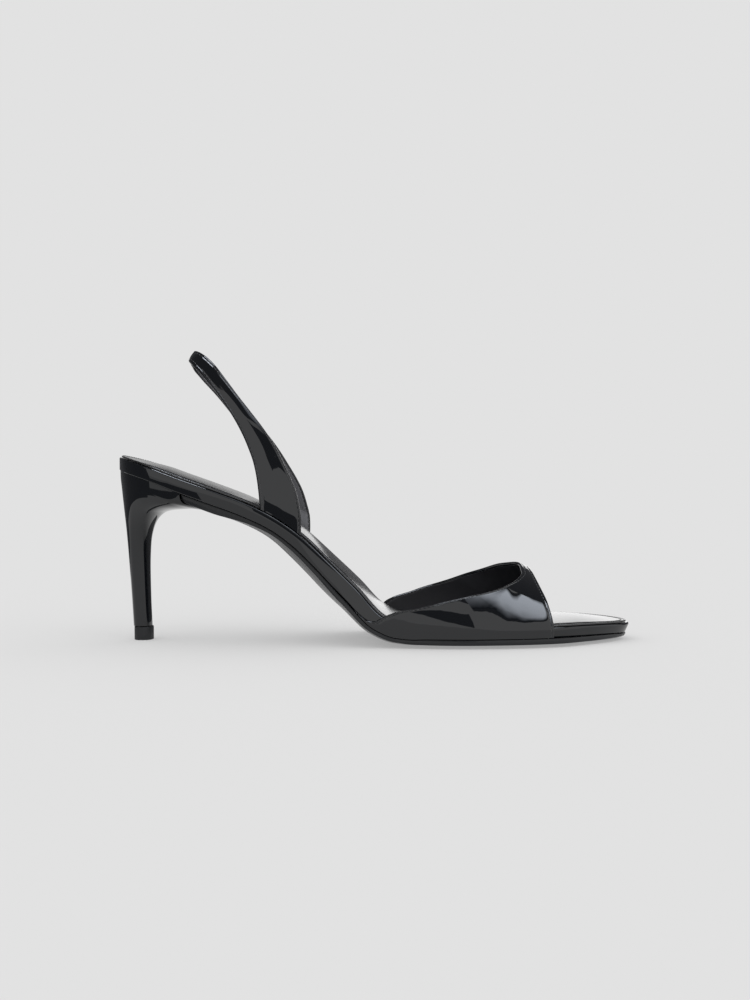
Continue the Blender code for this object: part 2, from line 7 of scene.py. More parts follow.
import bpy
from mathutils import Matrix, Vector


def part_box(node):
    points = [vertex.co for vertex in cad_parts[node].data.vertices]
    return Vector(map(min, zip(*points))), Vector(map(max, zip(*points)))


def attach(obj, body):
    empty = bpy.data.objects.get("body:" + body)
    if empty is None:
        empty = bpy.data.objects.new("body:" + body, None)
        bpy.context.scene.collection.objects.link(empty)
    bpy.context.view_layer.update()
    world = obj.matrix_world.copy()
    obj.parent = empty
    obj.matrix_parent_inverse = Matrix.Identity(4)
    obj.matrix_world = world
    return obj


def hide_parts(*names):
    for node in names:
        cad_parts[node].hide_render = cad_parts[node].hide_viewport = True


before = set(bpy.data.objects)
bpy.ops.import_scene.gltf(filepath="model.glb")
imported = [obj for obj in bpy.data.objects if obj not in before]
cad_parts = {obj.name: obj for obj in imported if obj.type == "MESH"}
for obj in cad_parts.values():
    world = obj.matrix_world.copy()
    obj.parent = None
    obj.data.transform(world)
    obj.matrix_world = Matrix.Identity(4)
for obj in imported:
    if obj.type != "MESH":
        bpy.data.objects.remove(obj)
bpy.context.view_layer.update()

import math

import bmesh
import bpy
import numpy as np

# %% [markdown]
# The camera comes first. The photograph looks straight across the shoe's length from a little above its
# heel seat, from about 0.7 m away. Only the lens and a small tilt are left to choose, and these two place
# the toe, the heel and the top of the strap on their pixels.

# %% Camera
CAMERA_AWAY = 0.700
CAMERA_HEIGHT = 0.082
CAMERA_TILT = math.radians(-1.69)
CAMERA_LENS = 57.2
SENSOR_WIDTH = 36.0

lens = bpy.data.cameras.new("camera")
lens.lens = CAMERA_LENS
lens.sensor_width = SENSOR_WIDTH
camera = bpy.data.objects.new("camera", lens)
camera.location = (0.0, -CAMERA_AWAY, CAMERA_HEIGHT)
camera.rotation_euler = (math.pi / 2 + CAMERA_TILT, 0.0, 0.0)
bpy.context.scene.collection.objects.link(camera)
bpy.context.scene.camera = camera
bpy.context.scene.view_settings.view_transform = "Standard"
print("camera at", tuple(round(value, 3) for value in camera.location))

# %% [markdown]
# A shoe is built on a last, the block that has the foot's form. Here the last is a handful of small
# tables: the side view of the sole, its plan, and how thick its layers are on the way from heel to toe.
# A smooth curve runs through each column. The curve never overshoots its points, so a table stays easy
# to read: what the rows say is what the shoe does.

# %% A smooth curve through a table's points
def table(columns, *rows):
    """Rows of numbers, as one array for each named column."""
    return dict(zip(columns.split(), np.array(rows, float).T))


def curve_through(xs, ys):
    """at(x) gives the heights and slopes of a curve through the points, without overshoot."""
    steps = np.diff(xs)
    rates = np.diff(ys) / steps
    slopes = np.concatenate([rates[:1], np.zeros(len(xs) - 2), rates[-1:]])
    for i in range(1, len(xs) - 1):
        if rates[i - 1] * rates[i] > 0:
            before = steps[i - 1] + 2 * steps[i]
            after = 2 * steps[i - 1] + steps[i]
            slopes[i] = (before + after) / (before / rates[i - 1] + after / rates[i])

    def at(x):
        x = np.asarray(x, float)
        inside = np.clip(x, xs[0], xs[-1])
        i = np.clip(np.searchsorted(xs, inside, side="right") - 1, 0, len(steps) - 1)
        t = (inside - xs[i]) / steps[i]
        low, high = ys[i], ys[i + 1]
        start, end = slopes[i] * steps[i], slopes[i + 1] * steps[i]
        height = low * (1 - t) ** 2 * (1 + 2 * t) + high * t**2 * (3 - 2 * t)
        height = height + start * t * (1 - t) ** 2 - end * t**2 * (1 - t)
        climb = 6 * t * (1 - t) * (high - low) + start * (1 - t) * (1 - 3 * t) - end * t * (2 - 3 * t)
        slope = climb / steps[i]
        return height + (x - inside) * slope, slope

    return at


def ease(share):
    """A soft step from 0 to 1."""
    share = np.clip(share, 0.0, 1.0)
    return share**2 * (3 - 2 * share)


# %% The last: side view, plan and layers
SOLE_LENGTH = 0.2242
HEEL_HEIGHT = 0.0805
BALL_WIDTH = 0.0734
CLEARANCE = 0.0003
OUTSOLE_DEPTH = 0.0038
FOOTBED_DEPTH = 0.0042
FOREFOOT_TOP = OUTSOLE_DEPTH + CLEARANCE + FOOTBED_DEPTH
HEEL_RISE = HEEL_HEIGHT - FOREFOOT_TOP

PROFILE = table(
    "along rise",
    (0.000, 1.000), (0.070, 0.935), (0.126, 0.871), (0.185, 0.806), (0.252, 0.727),
    (0.309, 0.640), (0.356, 0.537), (0.416, 0.366), (0.465, 0.220), (0.5125, 0.065),
    (0.543, 0.016), (0.580, 0.000), (0.860, 0.000), (0.930, -0.003), (1.000, -0.012),
)  # fmt: skip
PLAN = table(
    "along half centre",
    (0.000, 0.000, 0.000), (0.022, 0.197, 0.000), (0.054, 0.275, 0.000), (0.107, 0.330, 0.000),
    (0.160, 0.334, -0.003), (0.268, 0.308, -0.015), (0.357, 0.302, -0.020), (0.446, 0.349, -0.018),
    (0.535, 0.435, -0.012), (0.624, 0.489, -0.002), (0.678, 0.500, 0.004), (0.749, 0.487, 0.012),
    (0.821, 0.447, 0.022), (0.856, 0.409, 0.028), (0.914, 0.313, 0.036), (0.959, 0.212, 0.040),
    (0.981, 0.145, 0.042), (1.000, 0.000, 0.042),
)  # fmt: skip
FOOTBED = table(
    "along depth",
    (0.00, 1.38), (0.15, 1.38), (0.25, 1.33), (0.33, 1.25), (0.40, 1.33),
    (0.46, 1.54), (0.50, 1.48), (0.55, 1.18), (0.60, 1.00), (1.00, 1.00),
)  # fmt: skip
OUTSOLE = table(
    "along depth lip bulge",
    (0.00, 0.82, -1.25, 0.00), (0.14, 0.82, -1.25, 0.00), (0.20, 0.87, -1.20, 0.00),
    (0.28, 0.94, -1.05, 0.45), (0.33, 1.10, -0.90, 0.60), (0.37, 1.30, -0.75, 0.62),
    (0.42, 1.33, -0.35, 0.60), (0.46, 1.18, 0.60, 0.56), (0.50, 0.98, 1.00, 0.57),
    (0.55, 0.96, 1.00, 0.56), (0.57, 0.930, 1.00, 0.49), (0.59, 0.983, 1.00, 0.44),
    (0.60, 1.00, 1.00, 0.42), (0.66, 1.00, 1.00, 0.39), (0.85, 1.00, 0.88, 0.39),
    (0.91, 0.93, 0.38, 0.40), (0.96, 0.74, 0.25, 0.40), (1.00, 0.38, 0.15, 0.30),
)  # fmt: skip


def column(rows, name, along="along"):
    return curve_through(rows[along], rows[name])


rise_at = column(PROFILE, "rise")
footbed_share = column(FOOTBED, "depth")
outsole_share = column(OUTSOLE, "depth")
lip_share = column(OUTSOLE, "lip")
bulge_share = column(OUTSOLE, "bulge")
half_squared = curve_through(PLAN["along"], PLAN["half"] ** 2)
centre_share = column(PLAN, "centre")

# %% [markdown]
# Two functions carry the whole shoe. on_last puts a point at a height above the footbed's top edge,
# square to the sole, and edge walks round its outline. The heel seat is the exception: there the layers
# stand upright, as the back of a heel does.

# %% Points on the last
UPRIGHT_UNTIL = 0.25


def on_last(x, y, height):
    """Points that lie height above the footbed's top edge at x, square to the sole past the seat."""
    x, y, height = np.broadcast_arrays(*(np.asarray(value, float) for value in (x, y, height)))
    rise, slope = rise_at(x / SOLE_LENGTH)
    lean = np.arctan(-slope * HEEL_RISE / SOLE_LENGTH) * ease(x / SOLE_LENGTH / UPRIGHT_UNTIL)
    z = FOREFOOT_TOP + HEEL_RISE * rise + height * np.cos(lean)
    return np.stack([x + height * np.sin(lean), y, z], axis=-1)


def edge(x, side, grow=0.0):
    """Points of the footbed's outline in plan, moved outwards by grow. side is -1 outer or 1 inner."""
    squared, squared_slope = half_squared(x / SOLE_LENGTH)
    centre, centre_slope = centre_share(x / SOLE_LENGTH)
    half = np.sqrt(np.maximum(squared, 0.0))
    widening = (squared_slope + 2 * half * side * centre_slope) * BALL_WIDTH / SOLE_LENGTH
    length = np.hypot(widening, 2 * half)
    return x - grow * widening / length, BALL_WIDTH * (centre + side * half) + side * grow * 2 * half / length


def footbed_depth(x):
    return FOOTBED_DEPTH * footbed_share(x / SOLE_LENGTH)[0]


def outsole_depth(x):
    return OUTSOLE_DEPTH * outsole_share(x / SOLE_LENGTH)[0]


# %% Where the last stands in the frame
outline_x = SOLE_LENGTH * (1 - np.cos(np.linspace(0.0, math.pi, 400))) / 2
sides_y = [edge(outline_x, side)[1] for side in (-1, 1)]
seat_low, seat_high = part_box("footbed")
PLACE = np.array([
    seat_low[0],
    (seat_low[1] + seat_high[1]) / 2 - (sides_y[0].min() + sides_y[1].max()) / 2,
    0.0,
])  # fmt: skip

# %% [markdown]
# Every main piece is a skin over a grid of points. Blender has tools for lofts, but a grid that comes
# from a function keeps its rows where the shoe's own seams run, which later gives the stitches their
# path for free. The skin is closed round each row and capped at both ends.

# %% A closed skin over a grid of points
SHARP = math.radians(38)
MERGE = 1e-7


def finish_mesh(name, mesh, finishes):
    """Merges doubled points, turns the faces outwards, smooths them and links an object in the frame."""
    shape = bmesh.new()
    shape.from_mesh(mesh)
    bmesh.ops.remove_doubles(shape, verts=shape.verts, dist=MERGE)
    bmesh.ops.dissolve_degenerate(shape, edges=shape.edges, dist=MERGE)
    bmesh.ops.recalc_face_normals(shape, faces=shape.faces)
    shape.to_mesh(mesh)
    shape.free()
    mesh.shade_smooth()
    mesh.set_sharp_from_angle(angle=SHARP)
    for finish in finishes:
        mesh.materials.append(finish)
    made = bpy.data.objects.new(name, mesh)
    bpy.context.scene.collection.objects.link(made)
    return made


def skin(name, rings, finishes):
    """A closed skin through rings of points, given as an array of rings, points and coordinates."""
    count, around = rings.shape[:2]
    faces = [
        (row * around + i, row * around + (i + 1) % around,
         (row + 1) * around + (i + 1) % around, (row + 1) * around + i)
        for row in range(count - 1)
        for i in range(around)
    ]  # fmt: skip
    faces.append(tuple(range(around)))
    faces.append(tuple(range((count - 1) * around, count * around)))
    mesh = bpy.data.meshes.new(name)
    mesh.from_pydata((rings + PLACE).reshape(-1, 3).tolist(), [], faces)
    return finish_mesh(name, mesh, finishes)


def stations(start, end, count):
    """Places along the sole, closer together at its round ends."""
    turn = np.arccos(1 - 2 * np.array([start, end]))
    return SOLE_LENGTH * (1 - np.cos(np.linspace(turn[0], turn[1], count))) / 2


def layer(name, xs, rim, roof, floor, across, finishes):
    """A layer of the sole. rim lists how far its edge stands out and how high it is, from floor to roof."""
    sides = {}
    for side in (-1, 1):
        sides[side] = []
        for grow, height in rim:
            at_x, at_y = edge(xs, side, grow)
            sides[side].append((at_x, at_y, height))
    points = [on_last(*ring) for ring in sides[-1]]
    for shares, face, ring in ((across, roof, -1), (across[::-1], floor, 0)):
        near, far = sides[-1][ring], sides[1][ring]
        for share in shares:
            t = (1 + share) / 2
            at_x = near[0] + (far[0] - near[0]) * t
            points.append(on_last(at_x, near[1] + (far[1] - near[1]) * t, face(xs, at_x, share)))
        if face is roof:
            points += [on_last(*ring) for ring in sides[1][::-1]]
    return skin(name, np.stack(points, axis=1), finishes)


# %% [markdown]
# Finishes. Patent leather is black leather under a clear plastic film. Its colour hardly matters: what
# the eye sees is the studio mirrored in the film, pulled about a little by the leather's own waviness.
# So the film is a coat with almost no roughness, and two soft noises bend it. The strap is stretched
# flatter than the toe band, and the heel's cover is smoother still, so each has waves of its own.

# %% Patent leather
COAT_ROUGHNESS = 0.03
COAT_IOR = 1.55


def noise_bump(nodes, links, coordinates, scale, height, detail):
    """A noise of that scale whose hills have that height, as a bump node."""
    noise = nodes.new("ShaderNodeTexNoise")
    noise.inputs["Scale"].default_value = scale
    noise.inputs["Detail"].default_value = detail
    bump = nodes.new("ShaderNodeBump")
    bump.inputs["Distance"].default_value = height
    links.new(coordinates, noise.inputs["Vector"])
    links.new(noise.outputs["Fac"], bump.inputs["Height"])
    return bump


def finish_of(name, colour, roughness, coat, bumps, specular=0.5):
    """A leather or rubber with one colour, a roughness, a clear coat and a stack of noise bumps."""
    made = bpy.data.materials.new(name)
    made.use_nodes = True
    nodes, links = made.node_tree.nodes, made.node_tree.links
    shader = nodes["Principled BSDF"]
    shader.inputs["Base Color"].default_value = (*colour, 1.0)
    shader.inputs["Roughness"].default_value = roughness
    shader.inputs["Specular IOR Level"].default_value = specular
    shader.inputs["Coat Weight"].default_value = coat
    shader.inputs["Coat Roughness"].default_value = COAT_ROUGHNESS
    shader.inputs["Coat IOR"].default_value = COAT_IOR
    place = nodes.new("ShaderNodeTexCoord")
    last = None
    for scale, height, detail in bumps:
        bump = noise_bump(nodes, links, place.outputs["Object"], scale, height, detail)
        if last:
            links.new(last.outputs["Normal"], bump.inputs["Normal"])
        last = bump
    if last:
        links.new(last.outputs["Normal"], shader.inputs["Normal"])
        links.new(last.outputs["Normal"], shader.inputs["Coat Normal"])
    return made


BLACK = (0.0034, 0.0042, 0.0058)
BAND_WAVES = ((60, 0.00012, 1), (240, 0.00002, 1))
STRAP_WAVES = ((70, 0.00005, 1), (260, 0.00001, 1))
COVER_WAVES = ((50, 0.0001, 1),)
LINING_GRAIN = ((1400, 0.00004, 3),)
patent = finish_of("patent_leather", BLACK, 0.3, 1.0, BAND_WAVES, 0.0)
strap_patent = finish_of("strap_patent", BLACK, 0.3, 1.0, STRAP_WAVES, 0.0)
smooth_patent = finish_of("covered_patent", BLACK, 0.3, 1.0, COVER_WAVES, 0.0)
lining = finish_of("lining_leather", (0.024, 0.024, 0.027), 0.38, 0.0, LINING_GRAIN)
# The strap's lining is a lighter grey copy of the lining leather: painted sheen, standing in for the bright
# room that it mirrors.
sling_lining_painted_sheen = finish_of("sling_lining_painted_sheen", (0.12, 0.12, 0.13), 0.45, 0.0, LINING_GRAIN)
sock_leather = finish_of("sock_leather", (0.010, 0.010, 0.011), 0.20, 0.0, ((500, 0.00001, 2),), 0.8)
sole_leather = finish_of("painted_sole", (0.006, 0.007, 0.009), 0.3, 0.1, ((700, 0.00003, 3),), 0.35)
rubber = finish_of("top_lift_rubber", (0.013, 0.014, 0.016), 0.55, 0.0, ((2500, 0.00003, 3),), 0.4)
thread = finish_of("black_thread", (0.055, 0.055, 0.058), 0.4, 0.0, ())
print("finishes:", [material.name for material in bpy.data.materials if material.users or material.node_tree])

# %% [markdown]
# Footbed: an insole board with the patent leather wrapped round its edge. What shows is a wall a few
# millimetres high all round the shoe, with a rounded upper edge that draws one thin bright line.

# %% Footbed
EDGE_ROUND = 0.0008
TOE_LEAN = 0.0009
TOE_LEAN_FROM = 0.88
TOE_LEAN_RUN = 0.12
FOOTBED_STATIONS = 360


def quarter(out, top, radius, steps=5):
    """Rim pairs of a rounded upper corner, from its side, which stands out that far, to its top."""
    turns = np.linspace(0.0, math.pi / 2, steps)
    return [(out - radius * (1 - math.cos(t)), top - radius * (1 - math.sin(t))) for t in turns]


def toe_lean(x):
    """How much the wall leans out at the tip of the toe, from 0 before it to 1 at its end."""
    return ease((x / SOLE_LENGTH - TOE_LEAN_FROM) / TOE_LEAN_RUN)


def make_footbed():
    xs = stations(0.0, 1.0, FOOTBED_STATIONS)
    under = -footbed_depth(xs)
    foot, top = -TOE_LEAN * toe_lean(xs), TOE_LEAN / 3 * toe_lean(xs)
    low_round = EDGE_ROUND / 2
    rim = [(foot - low_round * (1 - math.sin(t)), under + low_round * (1 - math.cos(t)))
           for t in np.linspace(0.0, math.pi / 2, 4)]  # fmt: skip
    rim += quarter(top, 0.0, EDGE_ROUND)
    return layer("footbed_wrapped", xs, rim, lambda xs, x, share: 0.0 * x,
                 lambda xs, x, share: -footbed_depth(x), (-0.6, -0.2, 0.2, 0.6), [smooth_patent])  # fmt: skip


footbed = make_footbed()
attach(footbed, "root")
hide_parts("footbed")
print(footbed.name, len(footbed.data.polygons), "faces")

# %% [markdown]
# Outsole: a thin sheet of painted leather under the footbed, from the heel's front corner to the toe. An
# outline with a Solidify modifier would give one even thickness. Here the depth, the lip beside the toe
# band and the lift of the edges all change along the shoe, so each is a column of the last's own table.

# %% Outsole
OUTSOLE_LIP = 0.0024
OUTSOLE_START = 0.0305
OUTSOLE_TREAD = 0.35
OUTSOLE_EDGE = 0.0004
OUTSOLE_TOE_SETBACK = 1.4
SKIVE_RUN = 0.012
SKIVED_DEPTH = 0.2


def outsole_top(x):
    return -footbed_depth(x) - CLEARANCE


def rounded_start(x):
    """Share of its depth that the outsole has near its rear end, skived round where it leaves the heel."""
    left = 1 - np.clip((x / SOLE_LENGTH - OUTSOLE_START / SOLE_LENGTH) / SKIVE_RUN, 0.0, 1.0)
    return SKIVED_DEPTH + (1 - SKIVED_DEPTH) * np.sqrt(1 - left**2)


def outsole_floor(x, share):
    bulge = np.maximum(bulge_share(x / SOLE_LENGTH)[0], 0.0)
    outside = max(abs(share) - OUTSOLE_TREAD, 0.0) / (1 - OUTSOLE_TREAD)
    return outsole_top(x) - outsole_depth(x) * (1 - bulge * outside**2) * rounded_start(x)


def make_outsole():
    xs = stations(OUTSOLE_START / SOLE_LENGTH, 1.0, FOOTBED_STATIONS)
    lip = OUTSOLE_LIP * lip_share(xs / SOLE_LENGTH)[0] - TOE_LEAN * OUTSOLE_TOE_SETBACK * toe_lean(xs)
    low, high = outsole_floor(xs, 1.0), outsole_top(xs)
    rim = []
    for t in np.linspace(0.0, math.pi / 2, 4):
        rim.append((lip - OUTSOLE_EDGE * (1 - math.sin(t)), low + OUTSOLE_EDGE * (1 - math.cos(t))))
    for t in np.linspace(0.0, math.pi / 2, 3):
        rim.append((lip - OUTSOLE_EDGE / 2 * (1 - math.cos(t)), high - OUTSOLE_EDGE / 2 * (1 - math.sin(t))))
    return layer("outsole_leather", xs, rim, lambda xs, x, share: outsole_top(x),
                 lambda xs, x, share: outsole_floor(x, share),
                 tuple(np.linspace(-0.94, 0.94, 21)), [sole_leather])  # fmt: skip


outsole = make_outsole()
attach(outsole, "root")
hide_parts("outsole")
print(outsole.name, len(outsole.data.polygons), "faces")

# %% [markdown]
# Sock: the padded lining that the foot stands on. Its stitched border lies flat just inside the footbed's
# edge, then comes a sewn channel, and inside that the padding swells. The padding is about a millimetre
# thick, too thin for a cloth simulation to help, so its crown and its channel are shaped directly.

# %% Sock
STRAP_WALL = 0.0018
STRAP_INSET = 0.0006
SOCK_INSET = 0.0010
SOCK_EDGE = 0.0006
SOCK_ROUND = 0.0003
SOCK_CROWN = 0.0016
SOCK_CROWN_RUN = 0.022
SOCK_STITCH_IN = 0.0007
CHANNEL_IN = 0.0019
CHANNEL_DEPTH = 0.00030
CHANNEL_WIDTH = 0.00045
PUFF = 0.0007
PUFF_RUN = 0.0022
SOCK_BORDER = 0.0050
STRAP_ROOM_START = 0.245
STRAP_ROOM_END = 0.405
STRAP_ROOM_RUN = 0.030
STRAP_ROOM = STRAP_INSET + STRAP_WALL + CLEARANCE + 0.0001


def sock_inset(x):
    """How far inside the footbed's outline the sock's edge lies. It steps in round the strap's base."""
    share = x / SOLE_LENGTH
    begun, left = (share - STRAP_ROOM_START) / STRAP_ROOM_RUN, (STRAP_ROOM_END - share) / STRAP_ROOM_RUN
    return SOCK_INSET + (STRAP_ROOM - SOCK_INSET) * ease(begun) * ease(left)


def end_fade(x):
    """How full the padding is: it fades out at both ends of the sock."""
    return ease((np.minimum(x, SOLE_LENGTH - x) - SOCK_INSET) / SOCK_CROWN_RUN)


def sock_height(x, inside):
    """Height of the sock's border at a distance inside its edge, with its channel and first swell."""
    channel = CHANNEL_DEPTH * np.exp(-(((inside - CHANNEL_IN) / CHANNEL_WIDTH) ** 2))
    puff = PUFF * (1 - np.exp(-np.maximum(inside - CHANNEL_IN, 0.0) / PUFF_RUN))
    return CLEARANCE + SOCK_EDGE - channel + puff * end_fade(x)


def sock_crown(xs, x, share):
    return sock_height(xs, SOCK_BORDER) + (SOCK_CROWN - PUFF) * (1 - share**2) * end_fade(xs)


def make_sock():
    xs = stations(0.0, 1.0, FOOTBED_STATIONS)
    inset = sock_inset(xs)
    rim = [(-inset, CLEARANCE), (-inset, CLEARANCE + SOCK_EDGE - SOCK_ROUND)]
    rim += quarter(-inset, CLEARANCE + SOCK_EDGE, SOCK_ROUND, 4)[1:]
    for inside in np.linspace(SOCK_ROUND * 1.5, SOCK_BORDER, 18):
        rim.append((-inset - inside, sock_height(xs, inside)))
    return layer("sock_padded", xs, rim, sock_crown, lambda xs, x, share: CLEARANCE + 0.0 * x,
                 tuple(np.linspace(-0.95, 0.95, 21)), [sock_leather])  # fmt: skip


sock = make_sock()
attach(sock, "root")
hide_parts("sock")
print(sock.name, len(sock.data.polygons), "faces")

# %% [markdown]
# Bands. The toe band and the sling are both leather folded round a lining: a wall of even thickness
# with rolled edges and a stitched groove beside each edge. One function makes both from the grid of
# their outer face. A grid row runs from one edge of the band to the other, and its places crowd
# together near the edges, where the roll and the groove need them.

# %% Places across a band, closer at its edges
ROLL_STEPS = 7
GROOVE_DEPTH = 0.00014
GROOVE_WIDTH = 0.00035


def places_across(length, wall, stitch_in, middle):
    """Distances from the first edge of a band of that width, with each one's distance to its nearer edge."""
    radius = wall / 2
    rolled = radius * (1 - np.cos(np.linspace(0.0, math.pi / 2, ROLL_STEPS)))
    grooved = np.linspace(radius * 1.1, stitch_in + GROOVE_WIDTH * 2.0, 11)
    border = np.concatenate([rolled, grooved])
    reach = min(1.0, 0.48 * length / border[-1])
    border = border * reach
    inner = np.linspace(border[-1], length - border[-1], middle + 2)[1:-1]
    places = np.concatenate([border, inner, length - border[::-1]])
    return places, np.minimum(places, length - places) / reach


def roll(inside, wall):
    """How far the outer face sinks at a distance inside a rolled edge."""
    radius = wall / 2
    left = np.clip(radius - inside, 0.0, radius)
    return radius - np.sqrt(np.maximum(radius**2 - left**2, 0.0))


def groove(inside, stitch_in):
    return GROOVE_DEPTH * np.exp(-(((inside - stitch_in) / GROOVE_WIDTH) ** 2))


def normals_of(grid):
    """Unit normals of a grid of points."""
    along, over = np.gradient(grid, axis=0), np.gradient(grid, axis=1)
    normals = np.cross(along, over)
    return normals / np.maximum(np.linalg.norm(normals, axis=-1, keepdims=True), 1e-12)


# %% A folded band with its lining
def folded_band(name, face_at, rows, middle, wall, stitch_in, outwards, swell, finishes):
    """A band from face_at(row, share), the point of its outer face. Returns it and its stitch paths."""
    fine = np.linspace(0.0, 1.0, 161)
    grid, inside = [], []
    for row in rows:
        line = face_at(row, fine)
        steps = np.linalg.norm(np.diff(line, axis=0), axis=1)
        travelled = np.concatenate([[0.0], np.cumsum(steps)])
        places, near = places_across(travelled[-1], wall, stitch_in, middle)
        grid.append(face_at(row, np.interp(places, travelled, fine)))
        inside.append(near)
    grid, inside = np.array(grid), np.array(inside)
    normals = normals_of(grid) * outwards
    sunk = (roll(inside, wall) + groove(inside, stitch_in) - swell(inside))[..., None]
    outer = grid - normals * sunk
    inner = grid - normals * (wall - roll(inside, wall) - groove(inside, stitch_in))[..., None]
    count, across = grid.shape[:2]
    rings = np.concatenate([outer, inner[:, ::-1][:, 1:-1]], axis=1)
    around = rings.shape[1]
    folded = int((inside[0][: across // 2] <= wall / 2).sum())
    faces, linings = [], []
    for row in range(count - 1):
        for i in range(around):
            j = (i + 1) % around
            faces.append((row * around + i, row * around + j, (row + 1) * around + j, (row + 1) * around + i))
            linings.append(int(across - 1 + folded <= i < around - folded))
    for end in (0, count - 1):
        for i in range(across - 1):
            facing = [(around - k) % around if 0 < k < across - 1 else k for k in (i + 1, i)]
            ring = [i, i + 1, *facing]
            faces.append(tuple(end * around + k for k in dict.fromkeys(ring)))
            linings.append(0)
    mesh = bpy.data.meshes.new(name)
    mesh.from_pydata((rings + PLACE).reshape(-1, 3).tolist(), [], faces)
    mesh.polygons.foreach_set("material_index", linings)
    made = finish_mesh(name, mesh, finishes)
    paths = {}
    pick = int(np.argmin(np.abs(inside[len(inside) // 2][: across // 2] - stitch_in)))
    for place, at in (("first", pick), ("last", across - 1 - pick)):
        paths[place] = outer[:, at] + PLACE
        paths[place + "_inner"] = inner[:, at] + PLACE
    return made, paths


# %% [markdown]
# Toe band. It is bent over an arch that sinks towards the toes, and its sides come down outside the
# footbed to the outsole's lip. A table gives its front edge and its topline as they go round the arch.

# %% Toe band
VAMP_WALL = 0.0016
BAND_CREST = 0.0313
BAND_CREST_SIDE = 0.0040
ARCH = table(
    "along crest fullness",
    (0.45, 1.78, 2.20), (0.52, 1.70, 2.20), (0.60, 1.55, 2.10), (0.68, 1.37, 1.95),
    (0.75, 1.19, 1.62), (0.78, 1.09, 1.55), (0.807, 1.00, 1.55), (0.85, 0.86, 1.55),
)  # fmt: skip
VAMP = table(
    "row front_along front_angle top_along top_angle",
    (0.00, 0.8388, -10.0, 0.4610, -10.0), (0.03, 0.8388, -5.0, 0.4830, -6.6),
    (0.06, 0.8388, 1.0, 0.5060, 1.0), (0.12, 0.8385, 8.0, 0.5350, 7.0),
    (0.19, 0.8366, 18.0, 0.5865, 12.3), (0.26, 0.8334, 28.0, 0.6500, 20.5),
    (0.33, 0.8290, 39.0, 0.7080, 30.5), (0.39, 0.8227, 49.0, 0.7500, 42.5),
    (0.44, 0.8179, 57.0, 0.7750, 54.5), (0.48, 0.8126, 68.0, 0.7865, 67.0),
    (0.52, 0.8085, 84.0, 0.7860, 80.0), (0.56, 0.8085, 97.0, 0.7782, 98.0),
    (0.61, 0.8120, 111.0, 0.7661, 110.5), (0.66, 0.8165, 123.0, 0.7474, 121.0),
    (0.72, 0.8235, 135.0, 0.7140, 136.5), (0.79, 0.8305, 148.0, 0.6500, 154.5),
    (0.86, 0.8355, 162.0, 0.5815, 165.5), (0.93, 0.8386, 176.0, 0.5261, 174.0),
    (0.97, 0.8388, 185.0, 0.4860, 186.6), (1.00, 0.8388, 190.0, 0.4630, 190.0),
)  # fmt: skip
UPRIGHT_ANGLE = 10.0
ARCH_START = 0.80

crest_share = column(ARCH, "crest")
fullness_at = column(ARCH, "fullness")
seam_x = SOLE_LENGTH * np.linspace(0.42, 0.95, 400)
seam = on_last(seam_x, 0.0, -footbed_depth(seam_x))
arch_start = on_last(seam_x, 0.0, -footbed_depth(seam_x) * (1 - ARCH_START))[:, 2]
SEAM = {
    "low": seam[:, 2],
    "start": arch_start,
    "outer": edge(seam_x, -1, CLEARANCE + VAMP_WALL)[1],
    "inner": edge(seam_x, 1, CLEARANCE + VAMP_WALL)[1],
}


def on_arch(x, angle):
    """Points of the toe band's outer face at x and an angle round its arch."""
    low, start, outer, inner = (np.interp(x, seam[:, 0], SEAM[name]) for name in SEAM)
    crest = BAND_CREST * crest_share(x / SOLE_LENGTH)[0]
    power = 2 / fullness_at(x / SOLE_LENGTH)[0]
    turned = np.radians(np.clip(angle, 0.0, 180.0))
    across = np.cos(turned)
    reach = np.where(across > 0, BAND_CREST_SIDE - outer, inner - BAND_CREST_SIDE)
    y = BAND_CREST_SIDE - np.copysign(reach * np.abs(across) ** power, across)
    z = start + (crest - start) * np.sin(turned) ** power
    below = np.maximum(-angle, 0.0) + np.maximum(angle - 180.0, 0.0)
    return np.stack([x, y, z - (start - low) * below / UPRIGHT_ANGLE], axis=-1)


vamp_columns = {name: column(VAMP, name, "row") for name in VAMP if name != "row"}
VAMP_STITCH_IN = 0.0017


def vamp_face(row, share):
    at = {name: float(curve(row)[0]) for name, curve in vamp_columns.items()}
    x = SOLE_LENGTH * (at["front_along"] + (at["top_along"] - at["front_along"]) * share)
    return on_arch(x, at["front_angle"] + (at["top_angle"] - at["front_angle"]) * share)


vamp, vamp_paths = folded_band(
    "toe_band", vamp_face, np.linspace(0.0, 1.0, 241), 46, VAMP_WALL, VAMP_STITCH_IN, 1.0,
    lambda inside: 0.0 * inside, [patent, lining],
)  # fmt: skip
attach(vamp, "root")
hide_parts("vamp")
print(vamp.name, len(vamp.data.polygons), "faces")

# %% [markdown]
# Sling. One strap, folded round its lining, rises from both sides of the waist and passes behind the heel.
# A bevelled curve would be quick but has one section all the way, and this strap narrows and leans as it
# climbs. So a table gives both of its edges at each row, and the rows run on past the back, where the
# strap turns without a corner. Each foot of the strap is then led onto the footbed's edge.

